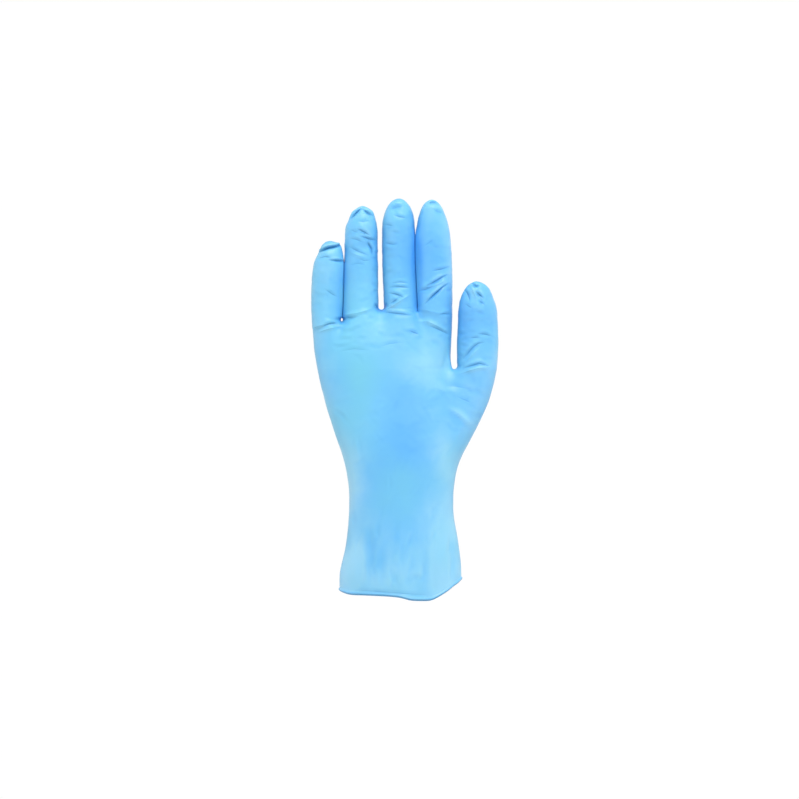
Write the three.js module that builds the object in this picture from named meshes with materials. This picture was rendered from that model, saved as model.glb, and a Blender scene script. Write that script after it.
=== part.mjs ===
// A disposable nitrile exam glove in the shape that it has on a hand: the fingers point up (+Z), the palm
// faces the viewer (-Y) and the thumb is on the right (+X). The origin is the middle of the wrist. Such a
// glove is dipped in one piece, so it is one thin hollow wall from the fingertips to the rolled bead round
// the mouth of the cuff.
import * as THREE from "three";

// Driving sizes, in millimetres.
const WALL = 1;
const BEAD_DIAMETER = 2.2;
const CUFF_LENGTH = 60;
const CUFF_WIDTH = 73.5;
const CUFF_DEPTH = 46;
const WRIST_WIDTH = 62.2;
const WRIST_DEPTH = 41;
const HEEL_DEPTH = 39;
const THUMB_LINE_DEPTH = 32;
const KNUCKLE_DEPTH = 24;
const THUMB_CROTCH_HEIGHT = 74.6;
const KNUCKLE_HEIGHT = 110.8;
const KNUCKLE_SHIFT = -0.5;
const THUMB_GAP = 2.4;
const PALM_TUCK = 2.2;
const WEB_DROP = 2.4;
const ROOT_THICKNESS = 1.2;

// The digits, from left to right: length from the root to the tip, the rounded end's length, how far the
// tip leans to the right of the root and curls to the palm's side, how far the whole digit stands to that
// side, the gap to the next digit, and how far the web on each side of its root lies below the highest web.
const DIGITS = {
  little: {
    width: 18.7, depth: 17, length: 47.6, dome: 9, lean: 2.2, bow: -0.7,
    curl: 5, arch: 1.6, gap: 0.8, left: 11, right: 7,
  },
  ring: {
    width: 20.7, depth: 18, length: 61.8, dome: 17, lean: 0.3, bow: -0.1,
    curl: 7, arch: -0.4, gap: 3.4, left: 7, right: 0,
  },
  middle: {
    width: 19.8, depth: 18.5, length: 66, dome: 17, lean: -1, bow: -0.6,
    curl: 8, arch: -0.8, gap: 0.25, left: 0, right: 0,
  },
  index: {
    width: 21.3, depth: 18.5, length: 65.5, dome: 26, lean: -2.2, bow: 0.2,
    curl: 7, arch: 1, gap: 0, left: 0, right: 4,
  },
};
const THUMB = { width: 24.8, depth: 20, length: 52.8, dome: 19, lean: -0.2, bow: 0.5, curl: 8, arch: 1 };

// Widths along a digit, as shares of its own width, from the root (0) to the tip (1).
const DIGIT_SECTIONS = [
  { at: 0, little: 0.9, ring: 1.03, middle: 1, index: 0.95, thumb: 0.96 },
  { at: 0.3, little: 0.99, ring: 1, middle: 0.99, index: 1.01, thumb: 1 },
  { at: 0.6, little: 1, ring: 0.97, middle: 1, index: 1, thumb: 0.95 },
  { at: 0.8, little: 0.92, ring: 0.96, middle: 0.98, index: 0.97, thumb: 0.92 },
  { at: 1, little: 0.87, ring: 0.96, middle: 0.97, index: 0.95, thumb: 0.91 },
];

// The body from the hem (-1) over the wrist (0) to the web of the thumb (1) and, past the knuckles, 1.5 times
// as high. Left and right say how far each edge has spread from the wrist's own edge (0) to the hem's, or to
// the edges of the little finger and the thumb (1). Power is the oval's exponent: under 2, its sides are
// pinched.
const BODY_SECTIONS = [
  { at: -1, left: 1, right: 0.85, power: 1.75 },
  { at: -0.83, left: 0.96, right: 0.78, power: 1.8 },
  { at: -0.55, left: 0.39, right: 0.45, power: 1.9 },
  { at: -0.25, left: 0.06, right: 0.03, power: 2 },
  { at: 0, left: 0, right: 0, power: 2.1 },
  { at: 0.25, left: 0.12, right: 0.12, power: 2.2 },
  { at: 0.5, left: 0.4, right: 0.465, power: 2.2 },
  { at: 0.75, left: 0.66, right: 0.77, power: 2.2 },
  { at: 1, left: 0.86, right: 0.925, power: 2.3 },
  { at: 1.2, left: 0.96, right: 1, power: 2.3 },
  { at: 1.5, left: 0.985, right: 1, power: 2.2 },
];

// How far below the wrist the hem lies, as shares of the cuff's length, by degrees round the mouth: 0 is
// the palm's side, 90 the thumb's and -90 the little finger's.
const HEM = [
  { at: -180, fall: 0.95 },
  { at: -90, fall: 0.92 },
  { at: -57, fall: 0.954 },
  { at: -36, fall: 0.958 },
  { at: -15, fall: 0.965 },
  { at: 2, fall: 0.981 },
  { at: 12, fall: 1.003 },
  { at: 22, fall: 1.01 },
  { at: 33, fall: 1.006 },
  { at: 42, fall: 0.97 },
  { at: 52, fall: 0.922 },
  { at: 64, fall: 0.865 },
  { at: 90, fall: 0.81 },
  { at: 180, fall: 0.95 },
];

// Broad dents (and, with a depth below zero, swellings). At and reach are shares along the limb, angle and
// spread are degrees round it as for the hem, and depth is a share of the limb's width.
const DENTS = [
  { limb: "body", at: 0.6, angle: 52, reach: 0.3, spread: 24, depth: -0.05 },
  { limb: "body", at: 0.75, angle: -8, reach: 0.3, spread: 28, depth: 0.035 },
  { limb: "body", at: -0.95, angle: -48, reach: 0.4, spread: 10, depth: 0.03 },
  { limb: "body", at: -1, angle: 34, reach: 0.35, spread: 12, depth: 0.03 },
  { limb: "body", at: -0.9, angle: 5, reach: 0.45, spread: 14, depth: -0.02 },
  { limb: "body", at: -1, angle: 140, reach: 0.4, spread: 14, depth: 0.03 },
  { limb: "body", at: -0.9, angle: -150, reach: 0.4, spread: 12, depth: 0.03 },
  { limb: "little", at: 0.93, angle: 0, reach: 0.06, spread: 60, depth: 0.1 },
  { limb: "ring", at: 0.93, angle: 10, reach: 0.05, spread: 45, depth: 0.09 },
  { limb: "ring", at: 0.62, angle: 20, reach: 0.05, spread: 35, depth: 0.05 },
  { limb: "middle", at: 0.9, angle: -10, reach: 0.05, spread: 35, depth: 0.07 },
  { limb: "thumb", at: 0.84, angle: -10, reach: 0.06, spread: 30, depth: 0.07 },
];

// How finely the skin is divided.
const SIDE = 4;
const DIGIT_ACROSS = 4;
const BEAD_SIDES = 8;
const CUFF_ROWS = [-1, -0.93, -0.83, -0.7, -0.55, -0.4, -0.25, -0.12];
const HEEL_ROWS = [0, 0.12, 0.24, 0.37, 0.5, 0.63, 0.75, 0.86, 0.95];
const PALM_ROWS = [0.06, 0.2, 0.4, 0.6, 0.78, 0.91];
const SHAFT_ROWS = [0.05, 0.14, 0.28, 0.46, 0.64, 0.82];
const DOME_ANGLES = [0, 22, 40, 56];
const CAP_ANGLE = 73;

const radians = THREE.MathUtils.degToRad;
const mix = THREE.MathUtils.lerp;
const vector = (x, y, z) => new THREE.Vector3(x, y, z);

// One column of a table as a smooth curve through its rows.
function track(rows, column, at) {
  const next = rows.findIndex((row) => row.at > at);
  const i = next < 0 ? rows.length - 2 : Math.max(next - 1, 0);
  const slope = (k) => {
    const before = rows[Math.max(k - 1, 0)];
    const after = rows[Math.min(k + 1, rows.length - 1)];
    return (after[column] - before[column]) / (after.at - before.at);
  };
  const step = rows[i + 1].at - rows[i].at;
  const t = THREE.MathUtils.clamp((at - rows[i].at) / step, 0, 1);
  const value = mix(rows[i][column], rows[i + 1][column], t * t * (3 - 2 * t));
  return value + t * (1 - t) * step * (slope(i) * (1 - t) - slope(i + 1) * t);
}

// The depth of all the dents at a place on a limb.
function dentAt(limb, at, angle) {
  const turned = (dent) => Math.abs(((angle - dent.angle + 540) % 360) - 180) / dent.spread;
  return DENTS.filter((dent) => dent.limb === limb).reduce(
    (sum, dent) => sum + dent.depth * Math.exp(-(((at - dent.at) / dent.reach) ** 2) - turned(dent) ** 2),
    0,
  );
}

// A point on an oval with the given edges, at an angle from the palm's side towards the thumb's.
function oval(left, right, depth, power, angle, middle, z) {
  const round = (v) => Math.sign(v) * Math.abs(v) ** (2 / power);
  const x = mix(left, right, 0.5) + (0.5 * (right - left)) * round(Math.sin(radians(angle)));
  return vector(x, middle - 0.5 * depth * round(Math.cos(radians(angle))), z);
}

// A digit: its wall at a share along it and an angle round it, with its rounded end.
function digit(name, size, centre, leftHeight, rightHeight) {
  const start = 1 - size.dome / size.length;
  const tipHeight = Math.max(leftHeight, rightHeight) + size.length;
  const place = (at, angle) => {
    const rounded = at > start ? Math.sqrt(Math.max(0, 1 - ((at - start) / (1 - start)) ** 2)) : 1;
    const share = track(DIGIT_SECTIONS, name, at) * rounded * (1 - 2 * dentAt(name, at, angle));
    const thick = mix(ROOT_THICKNESS, 1, Math.min(1, at / 0.3));
    const middle = -size.arch - size.curl * at * at;
    const x = centre + size.lean * at + size.bow * Math.sin(Math.PI * at);
    const root = mix(leftHeight, rightHeight, 0.5 + 0.5 * Math.sin(radians(angle)));
    const half = 0.5 * size.width * share;
    return oval(x - half, x + half, size.depth * share * thick, 2.1, angle, middle, mix(root, tipHeight, at));
  };
  const rows = [
    ...SHAFT_ROWS.map((row) => row * start),
    ...DOME_ANGLES.map((angle) => mix(start, 1, Math.sin(radians(angle)))),
  ];
  return { across: DIGIT_ACROSS, place, rows, cap: mix(start, 1, Math.sin(radians(CAP_ANGLE))) };
}

// The digits stand side by side from the middle finger outwards, each with its own width and gap.
function layOutDigits() {
  const { little, ring, middle, index } = DIGITS;
  const middleX = KNUCKLE_SHIFT;
  const ringX = middleX - middle.width / 2 - ring.gap - ring.width / 2;
  const littleX = ringX - ring.width / 2 - little.gap - little.width / 2;
  const indexX = middleX + middle.width / 2 + middle.gap + index.width / 2;
  const centres = { little: littleX, ring: ringX, middle: middleX, index: indexX };
  return Object.entries(DIGITS).map(([name, size]) =>
    digit(name, size, centres[name], KNUCKLE_HEIGHT - size.left, KNUCKLE_HEIGHT - size.right),
  );
}

const fingers = layOutDigits();
const knuckleLeft = fingers[0].place(0, -90).x;
const knuckleRight = fingers.at(-1).place(0, 90).x;
const thumbX = knuckleRight + THUMB_GAP + THUMB.width / 2;
const thumb = digit("thumb", THUMB, thumbX, THUMB_CROTCH_HEIGHT, THUMB_CROTCH_HEIGHT);

const DEPTHS = [
  { at: -1, depth: CUFF_DEPTH },
  { at: 0, depth: WRIST_DEPTH },
  { at: 0.5, depth: HEEL_DEPTH },
  { at: 1, depth: THUMB_LINE_DEPTH },
  { at: 1.25, depth: mix(THUMB_LINE_DEPTH, KNUCKLE_DEPTH, 0.5) },
  { at: 1.5, depth: KNUCKLE_DEPTH },
];

// The body's oval at a level of BODY_SECTIONS; above the web of the thumb it ends at the index finger's edge,
// which is tucked in beside the thumb.
function bodyOval(at, angle) {
  const leftEnd = at < 0 ? -CUFF_WIDTH / 2 : knuckleLeft;
  const rightEnd = at < 0 ? CUFF_WIDTH / 2 : thumbX + THUMB.width / 2;
  const left = mix(-WRIST_WIDTH / 2, leftEnd, track(BODY_SECTIONS, "left", at));
  const top = KNUCKLE_HEIGHT / THUMB_CROTCH_HEIGHT;
  const tucked = knuckleRight - PALM_TUCK * Math.max(0, (top - at) / (top - 1)) ** 2;
  const right = at > 1 ? tucked : mix(WRIST_WIDTH / 2, rightEnd, track(BODY_SECTIONS, "right", at));
  const low = track(HEM, "fall", ((angle + 540) % 360) - 180) * CUFF_LENGTH;
  const z = at * (at < 0 ? low : THUMB_CROTCH_HEIGHT);
  const shrink = 1 - 2 * dentAt("body", at, angle);
  const spot = oval(left, right, track(DEPTHS, "depth", at), track(BODY_SECTIONS, "power", at), angle, 0, z);
  return spot.setY(spot.y * shrink);
}

// The angles of a ring's points, from its front left corner round by the thumb's side.
function ringAngles(across) {
  const count = 2 * (across + SIDE);
  return Array.from({ length: count }, (_, i) => ((i - across / 2) * 360) / count);
}

// The four stretches of a ring of points: front, right, back and left, each with both of its ends.
function stretches(ring, across) {
  const closed = [...ring, ring[0]];
  const [right, back, left] = [across, across + SIDE, 2 * across + SIDE];
  return {
    front: closed.slice(0, right + 1),
    right: closed.slice(right, back + 1),
    back: closed.slice(back, left + 1),
    left: closed.slice(left),
  };
}

const midpoint = (a, b) => a.clone().lerp(b, 0.5);

// The web between two limbs, from front to back: lowest at its ends, where it meets the palm and the back.
function webBetween(leftLimb, rightLimb) {
  const near = leftLimb.right;
  const far = [...rightLimb.left].reverse();
  const web = near.map((point, i) => midpoint(point, far[i]));
  return web.map((point) => point.setZ(point.z - WEB_DROP * (point.y / web[0].y) ** 2));
}

// The ring in which limbs that stand side by side meet, and the webs between them.
function rootsOf(limbs) {
  const rootRing = (limb) => ringAngles(limb.across).map((angle) => limb.place(0, angle));
  const parts = limbs.map((limb) => stretches(rootRing(limb), limb.across));
  const webs = parts.slice(1).map((part, i) => webBetween(parts[i], part));
  const front = parts.flatMap((part, i) => [i ? webs[i - 1][0] : part.front[0], ...part.front.slice(1, -1)]);
  const back = parts.flatMap((part, i) => [
    ...part.back.slice(1, -1).reverse(),
    ...(i < webs.length ? [webs[i].at(-1)] : []),
  ]);
  return { ring: [...front, ...parts.at(-1).right, ...back.reverse(), ...parts[0].left.slice(0, -1)], webs };
}

// The palm's levels between the web of the thumb (0) and the knuckles (1).
const palmOval = (share, angle) => bodyOval(mix(1.0001, KNUCKLE_HEIGHT / THUMB_CROTCH_HEIGHT, share), angle);
const palm = { across: fingers.length * DIGIT_ACROSS, place: palmOval };
const knuckles = rootsOf(fingers);
const thumbLine = rootsOf([palm, thumb]);

// The skin: its corners, and its faces as lists of four corner numbers.
const corners = [];
const faces = [];
const add = (point) => corners.push(point) - 1;

function band(lower, upper) {
  lower.forEach((corner, i) => {
    const j = (i + 1) % lower.length;
    faces.push([corner, lower[j], upper[j], upper[i]]);
  });
}

// Closes the end of a digit with a square net of faces on its dome.
function closeTip(ring, limb) {
  const { front, right, back, left } = stretches(ring, DIGIT_ACROSS);
  const half = DIGIT_ACROSS / 2;
  const net = front.map((_, row) =>
    front.map((_, column) => {
      if (row === 0) return front[column];
      if (row === DIGIT_ACROSS) return back[DIGIT_ACROSS - column];
      if (column === 0) return left[DIGIT_ACROSS - row];
      if (column === DIGIT_ACROSS) return right[row];
      const [x, y] = [column - half, half - row];
      return add(limb.place(x || y ? limb.cap : 1, THREE.MathUtils.radToDeg(Math.atan2(x, y))));
    }),
  );
  for (let row = 0; row < DIGIT_ACROSS; row++)
    for (let column = 0; column < DIGIT_ACROSS; column++)
      faces.push([net[row][column], net[row][column + 1], net[row + 1][column + 1], net[row + 1][column]]);
}

function growDigit(root, limb) {
  const angles = ringAngles(limb.across);
  const tip = limb.rows.reduce((below, at) => {
    const ring = angles.map((angle) => add(limb.place(at, angle)));
    band(below, ring);
    return ring;
  }, root);
  closeTip(tip, limb);
}

// Splits a ring at a web into the rings of the limbs on its left and right.
function split(ring, across, at, web) {
  const { front, right, back, left } = stretches(ring, across);
  const leftRing = [...front.slice(0, at), ...web, ...back.slice(-at), ...left.slice(1, -1)];
  const webBack = [...web].reverse().slice(0, -1);
  const rightRing = [...front.slice(at), ...right.slice(1), ...back.slice(1, across - at), ...webBack];
  return [leftRing, rightRing];
}

// Builds the skin from the hem to the fingertips and returns the ring of corners at the hem.
function buildSkin() {
  const wide = palm.across + DIGIT_ACROSS;
  const angles = ringAngles(wide);
  const pull = thumbLine.ring.map((point, i) => point.clone().sub(bodyOval(1, angles[i])));
  const rings = [...CUFF_ROWS, ...HEEL_ROWS].map((at) =>
    angles.map((angle, i) => add(bodyOval(at, angle).addScaledVector(pull[i], Math.max(0, at) ** 3))),
  );
  rings.push(thumbLine.ring.map(add));
  rings.slice(1).forEach((ring, i) => band(rings[i], ring));

  const thumbTop = rings.at(-1);
  const thumbWeb = thumbLine.webs[0];
  const innerWeb = thumbWeb.slice(1, -1).map(add);
  const webCorners = [thumbTop[palm.across], ...innerWeb, thumbTop[2 * wide + SIDE - palm.across]];
  const [palmRing, thumbRing] = split(thumbTop, wide, palm.across, webCorners);
  growDigit(thumbRing, thumb);

  const palmAngles = ringAngles(palm.across);
  const base = palmAngles.map((angle) => palmOval(0, angle));
  const top = palmAngles.map((angle) => palmOval(1, angle));
  const fromBase = palmRing.map((corner, i) => corners[corner].clone().sub(base[i]));
  const toTop = knuckles.ring.map((point, i) => point.clone().sub(top[i]));
  let below = palmRing;
  PALM_ROWS.forEach((at) => {
    const ring = palmAngles.map((angle, i) =>
      add(palmOval(at, angle).addScaledVector(fromBase[i], (1 - at) ** 8).addScaledVector(toTop[i], at ** 3)),
    );
    band(below, ring);
    below = ring;
  });
  let rest = knuckles.ring.map(add);
  band(below, rest);
  let across = palm.across;
  fingers.forEach((finger, i) => {
    if (i === fingers.length - 1) return growDigit(rest, finger);
    const inner = knuckles.webs[i].slice(1, -1).map(add);
    const web = [rest[DIGIT_ACROSS], ...inner, rest[2 * across + SIDE - DIGIT_ACROSS]];
    const [own, others] = split(rest, across, DIGIT_ACROSS, web);
    growDigit(own, finger);
    rest = others;
    across -= DIGIT_ACROSS;
  });
  return rings[0];
}

const hem = buildSkin();

// Outward directions at the corners, from the faces round each.
function normalsOf() {
  const normals = corners.map(() => vector(0, 0, 0));
  faces.forEach(([a, b, c, d]) => {
    const first = corners[c].clone().sub(corners[a]);
    const second = corners[d].clone().sub(corners[b]);
    const normal = first.cross(second);
    [a, b, c, d].forEach((corner) => normals[corner].add(normal));
  });
  return normals.map((normal) => normal.normalize());
}

// The glove as one closed wall: the skin, its inner side, and the bead that joins them round the hem.
function gloveGeometry() {
  const normals = normalsOf();
  const inner = corners.map((corner, i) => corner.clone().addScaledVector(normals[i], -WALL));
  const points = [...corners, ...inner];
  const triangles = [];
  const quad = (a, b, c, d) => {
    const short = points[a].distanceTo(points[c]) <= points[b].distanceTo(points[d]);
    triangles.push(...(short ? [a, b, c, a, c, d] : [a, b, d, b, c, d]));
  };
  faces.forEach(([a, b, c, d]) => {
    quad(a, b, c, d);
    const shift = corners.length;
    const short = points[a].distanceTo(points[c]) <= points[b].distanceTo(points[d]);
    const [p, q, r, s] = [a + shift, b + shift, c + shift, d + shift];
    triangles.push(...(short ? [p, r, q, p, s, r] : [p, s, q, q, s, r]));
  });

  const radius = BEAD_DIAMETER / 2;
  const opening = Math.asin(WALL / 2 / radius);
  let previous = hem;
  for (let side = 1; side <= BEAD_SIDES; side++) {
    const turn = mix(opening, 2 * Math.PI - opening, side / BEAD_SIDES);
    const ring = hem.map((corner, i) => {
      if (side === BEAD_SIDES) return corner + corners.length;
      const out = vector(normals[corner].x, normals[corner].y, 0).normalize();
      const centre = midpoint(points[corner], points[corner + corners.length]);
      centre.z -= radius * Math.cos(opening);
      centre.addScaledVector(out, radius * Math.sin(turn));
      centre.z += radius * Math.cos(turn);
      return points.push(centre) - 1;
    });
    previous.forEach((corner, i) => {
      const j = (i + 1) % previous.length;
      quad(previous[j], corner, ring[i], ring[j]);
    });
    previous = ring;
  }
  const geometry = new THREE.BufferGeometry();
  geometry.setAttribute("position", new THREE.Float32BufferAttribute(points.flatMap((p) => p.toArray()), 3));
  geometry.setIndex(triangles);
  geometry.computeVertexNormals();
  return geometry;
}

const nitrile = new THREE.MeshStandardMaterial({ color: 0x86caf7, roughness: 0.5, metalness: 0 });
nitrile.name = "nitrile";
const glove = new THREE.Mesh(gloveGeometry(), nitrile);
glove.name = "glove";

const group = new THREE.Group();
group.add(glove);
export default group;
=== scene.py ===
import math

import bpy
import numpy as np
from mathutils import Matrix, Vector, kdtree, noise


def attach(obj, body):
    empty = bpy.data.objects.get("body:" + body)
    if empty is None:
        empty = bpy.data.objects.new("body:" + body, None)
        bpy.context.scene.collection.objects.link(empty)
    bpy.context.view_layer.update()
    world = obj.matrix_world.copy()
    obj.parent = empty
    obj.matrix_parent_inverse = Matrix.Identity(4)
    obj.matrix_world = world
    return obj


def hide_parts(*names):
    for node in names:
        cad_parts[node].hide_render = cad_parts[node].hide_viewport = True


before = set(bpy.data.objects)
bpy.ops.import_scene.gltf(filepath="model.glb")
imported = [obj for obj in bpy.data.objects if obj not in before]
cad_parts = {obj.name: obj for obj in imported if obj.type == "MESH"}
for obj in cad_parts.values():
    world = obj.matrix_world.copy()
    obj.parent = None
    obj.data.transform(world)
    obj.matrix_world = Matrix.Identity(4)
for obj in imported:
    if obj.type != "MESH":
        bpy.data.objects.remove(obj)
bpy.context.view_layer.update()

MM = 0.001

# The glove's sizes, in millimetres, as in the part.
WALL = 0.9
BEAD_RADIUS = 1.05
CUFF_LENGTH = 60
CUFF_WIDTH = 73.5
CUFF_DEPTH = 46
WRIST_WIDTH = 62.2
WRIST_DEPTH = 41
HEEL_DEPTH = 39
THUMB_LINE_DEPTH = 32
PALM_DEPTH = 28
KNUCKLE_DEPTH = 24
THUMB_CROTCH_HEIGHT = 74.6
KNUCKLE_HEIGHT = 110.8
KNUCKLE_SHIFT = -0.5
THUMB_GAP = 2.4

# How far the palm draws in on the thumb's side, from the knuckles down to the web of the thumb.
PALM_TUCK = 2.2

# How much lower a web is at the palm and the back than in its middle.
WEB_DROP = 2.4

# How deep a digit is at its root, as a share of its depth, and the share of its length where that ends.
ROOT_THICKNESS = 1.2
ROOT_REACH = 0.3

# How square a digit's section is: 2 is an ellipse.
DIGIT_POWER = 2.1

# The digits, from left to right. The dome is the rounded end. Lean and curl are how far the tip stands to
# the right and forwards of the root, bow how far the middle stands to the right, and arch how far the root
# stands forwards. The gap is to the finger on the right. Left and right are how far below the knuckles the
# two sides start.
DIGITS = {
    "little": dict(
        width=18.7, depth=17, length=47.6, dome=9, lean=2.2, bow=-0.7, curl=5, arch=1.6,
        gap=0.8, left=11, right=7,
    ),
    "ring": dict(
        width=20.7, depth=18, length=61.8, dome=17, lean=0.3, bow=-0.1, curl=7, arch=-0.4,
        gap=3.4, left=7, right=0,
    ),
    "middle": dict(
        width=19.8, depth=18.5, length=66, dome=17, lean=-1, bow=-0.6, curl=8, arch=-0.8,
        gap=0.25, left=0, right=0,
    ),
    "index": dict(
        width=21.3, depth=18.5, length=65.5, dome=26, lean=-2.2, bow=0.2, curl=7, arch=1,
        gap=0, left=0, right=4,
    ),
}
THUMB = dict(width=24.8, depth=20, length=52.8, dome=19, lean=-0.2, bow=0.5, curl=8, arch=1)

# Widths along each digit, as shares of its own width, from the root (0) to the tip (1).
DIGIT_WIDTHS = {
    "at": [0, 0.3, 0.6, 0.8, 1],
    "little": [0.9, 0.99, 1, 0.92, 0.87],
    "ring": [1.03, 1, 0.97, 0.96, 0.96],
    "middle": [1, 0.99, 1, 0.98, 0.97],
    "index": [0.95, 1.01, 1, 0.97, 0.95],
    "thumb": [0.96, 1, 0.95, 0.92, 0.91],
}

# The body from the hem (-1) over the wrist (0) to the web of the thumb (1) and past the knuckles (1.5). Left
# and right are where its sides stand, from their place at the wrist (0) to the hem's or the knuckles' (1).
# The power is how square its section is.
BODY = {
    "at": [-1, -0.83, -0.55, -0.25, 0, 0.25, 0.5, 0.75, 1, 1.2, 1.5],
    "left": [1, 0.96, 0.39, 0.06, 0, 0.12, 0.4, 0.66, 0.86, 0.96, 0.985],
    "right": [0.85, 0.78, 0.45, 0.03, 0, 0.12, 0.465, 0.77, 0.925, 1, 1],
    "power": [1.75, 1.8, 1.9, 2, 2.1, 2.2, 2.2, 2.2, 2.3, 2.3, 2.2],
}
DEPTHS = {
    "at": [-1, 0, 0.5, 1, 1.25, 1.5],
    "depth": [CUFF_DEPTH, WRIST_DEPTH, HEEL_DEPTH, THUMB_LINE_DEPTH, PALM_DEPTH, KNUCKLE_DEPTH],
}

# How far the hem hangs, as a share of the cuff's length, at degrees from the palm's side to the thumb's.
HEM = {
    "at": [-180, -90, -57, -36, -15, 2, 12, 22, 33, 42, 52, 64, 90, 180],
    "fall": [
        0.95, 0.92, 0.954, 0.958, 0.965, 0.981, 1.003,
        1.01, 1.006, 0.97, 0.922, 0.865, 0.81, 0.95,
    ],
}

# Broad dents: limb, place along it, degrees round it, reach, spread in degrees, and depth as a share of the
# limb's own depth.
DENTS = [
    ("body", 0.6, 52, 0.3, 24, -0.05),
    ("body", 0.75, -8, 0.3, 28, 0.035),
    ("body", -0.95, -48, 0.4, 10, 0.03),
    ("body", -1, 34, 0.35, 12, 0.03),
    ("body", -0.9, 5, 0.45, 14, -0.02),
    ("body", -1, 140, 0.4, 14, 0.03),
    ("body", -0.9, -150, 0.4, 12, 0.03),
    ("little", 0.93, 0, 0.06, 60, 0.1),
    ("ring", 0.93, 10, 0.05, 45, 0.09),
    ("ring", 0.62, 20, 0.05, 35, 0.05),
    ("middle", 0.9, -10, 0.05, 35, 0.07),
    ("thumb", 0.84, -10, 0.06, 30, 0.07),
]

# How finely the skin is divided: edges on the side of a limb and across a digit, rows of the cuff and the
# heel, levels of the palm as shares, the step between a digit's rows in millimetres, the place of its first
# row in that step, and the rows of its dome in degrees.
SIDE = 5
ACROSS = 6
CUFF_ROWS = 14
HEEL_ROWS = 14
PALM_ROWS = [0.04, 0.12, 0.22, 0.34, 0.46, 0.58, 0.7, 0.82, 0.92]
SHAFT_STEP = 2.6
FIRST_ROW = 0.35
DOME_ANGLES = [0, 15, 29, 42, 53, 63]

# How often the skin is then subdivided, and how many fine edges that makes of each one.
SUBDIVISIONS = 2
FINER = 2**SUBDIVISIONS
BEAD_SIDES = 10

# How quickly the rings of the body take the form of the next web, and let go of the last one.
TAKE_FORM = 3
LET_GO = 8


def track(table, column, at):
    """One column of a table as a smooth curve through its rows."""
    ats, values = table["at"], table[column]
    last = len(ats) - 1
    i = min(max(sum(1 for a in ats if a <= at) - 1, 0), last - 1)

    def slope(k):
        a, b = max(k - 1, 0), min(k + 1, last)
        return (values[b] - values[a]) / (ats[b] - ats[a])

    step = ats[i + 1] - ats[i]
    t = min(max((at - ats[i]) / step, 0), 1)
    value = values[i] + (values[i + 1] - values[i]) * t * t * (3 - 2 * t)
    return value + t * (1 - t) * step * (slope(i) * (1 - t) - slope(i + 1) * t)


def mix(a, b, t):
    """From a (0) to b (1)."""
    return a + (b - a) * t


def half_turns(angle):
    """An angle in degrees, brought to between -180 and 180."""
    return (angle + 540) % 360 - 180


def dent_at(limb, at, angle):
    """How deep the broad dents of a limb are at a place on it."""
    total = 0
    for name, place, turn, reach, spread, depth in DENTS:
        if name == limb:
            off = half_turns(angle - turn) / spread
            total += depth * math.exp(-(((at - place) / reach) ** 2) - off**2)
    return total


def oval(left, right, depth, power, angle, middle, z):
    """A point on an oval at an angle from the palm's side towards the thumb's."""
    s, c = math.sin(math.radians(angle)), math.cos(math.radians(angle))
    x = (left + right) / 2 + (right - left) / 2 * math.copysign(abs(s) ** (2 / power), s)
    y = middle - depth / 2 * math.copysign(abs(c) ** (2 / power), c)
    return np.array([x, y, z])


def make_digit(name, size, centre, left_height, right_height):
    """A digit: its rows, and a function that gives any point of its skin."""
    start = 1 - size["dome"] / size["length"]
    tip_height = max(left_height, right_height) + size["length"]

    def place(at, angle):
        past = max(0, at - start) / (1 - start)
        share = track(DIGIT_WIDTHS, name, at) * math.sqrt(max(0, 1 - past**2))
        share *= 1 - 2 * dent_at(name, at, angle)
        depth = size["depth"] * share * mix(ROOT_THICKNESS, 1, min(1, at / ROOT_REACH))
        middle = -size["arch"] - size["curl"] * at * at
        x = centre + size["lean"] * at + size["bow"] * math.sin(math.pi * at)
        root = mix(left_height, right_height, 0.5 + 0.5 * math.sin(math.radians(angle)))
        half = 0.5 * size["width"] * share
        return oval(x - half, x + half, depth, DIGIT_POWER, angle, middle, mix(root, tip_height, at))

    count = round(size["length"] * start / SHAFT_STEP)
    rows = [(i + FIRST_ROW) / count * start for i in range(count)]
    rows += [mix(start, 1, math.sin(math.radians(a))) for a in DOME_ANGLES]
    return dict(across=ACROSS, place=place, rows=rows, start=start)


def lay_out_digits():
    """The digits stand side by side from the middle finger outwards."""
    half = {name: size["width"] / 2 for name, size in DIGITS.items()}
    middle = KNUCKLE_SHIFT
    ring = middle - half["middle"] - DIGITS["ring"]["gap"] - half["ring"]
    little = ring - half["ring"] - DIGITS["little"]["gap"] - half["little"]
    index = middle + half["middle"] + DIGITS["middle"]["gap"] + half["index"]
    centres = dict(little=little, ring=ring, middle=middle, index=index)
    return [
        make_digit(name, size, centres[name], KNUCKLE_HEIGHT - size["left"], KNUCKLE_HEIGHT - size["right"])
        for name, size in DIGITS.items()
    ]


fingers = lay_out_digits()
KNUCKLE_LEFT = fingers[0]["place"](0, -90)[0]
KNUCKLE_RIGHT = fingers[-1]["place"](0, 90)[0]
THUMB_X = KNUCKLE_RIGHT + THUMB_GAP + THUMB["width"] / 2
thumb = make_digit("thumb", THUMB, THUMB_X, THUMB_CROTCH_HEIGHT, THUMB_CROTCH_HEIGHT)


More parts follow.
